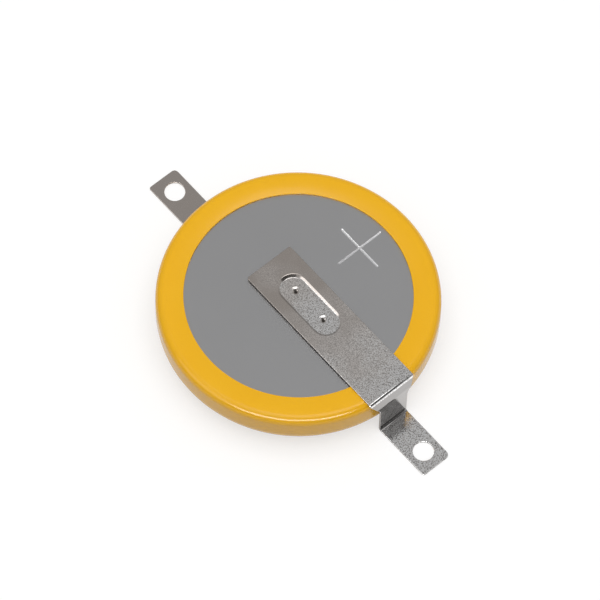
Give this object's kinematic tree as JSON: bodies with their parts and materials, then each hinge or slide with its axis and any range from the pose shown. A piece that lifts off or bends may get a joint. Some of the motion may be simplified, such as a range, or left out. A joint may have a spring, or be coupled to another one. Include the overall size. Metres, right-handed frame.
{
  "type": "tabbed lithium coin cell",
  "caption": "Round flat battery cell in a yellow shrunk sleeve, with a bent solder tab on its positive face and a straight one under its negative face.",
  "frame": {"origin": "on the cell's axis, in the plane of the two feet's undersides", "axes": "+X along the tabs towards the positive foot, +Z along the cell's axis towards the positive face"},
  "size_m": [0.0302, 0.0202, 0.0042],
  "materials": {
    "can_steel": "satin stainless steel with a fine rolled grain",
    "cap_steel": "satin stainless steel",
    "gasket_polypropylene": "moulded, satin",
    "ring_steel": "pressed, plain",
    "manganese_dioxide": "pressed powder, matt",
    "separator_felt": "unwoven fibre",
    "lithium_metal": "rolled soft metal, dull",
    "sleeve_pvc": "shrunk film, glossy",
    "tab_nickel": "rolled nickel strip, half bright"
  },
  "bodies": {
    "root": {"positive_can": "can_steel", "negative_cap": "cap_steel", "gasket": "gasket_polypropylene", "cathode_ring": "ring_steel", "cathode_pellet": "manganese_dioxide", "separator": "separator_felt", "lithium_anode": "lithium_metal", "insulating_sleeve": "sleeve_pvc", "positive_tab": "tab_nickel", "negative_tab": "tab_nickel"}
  },
  "joints": []
}
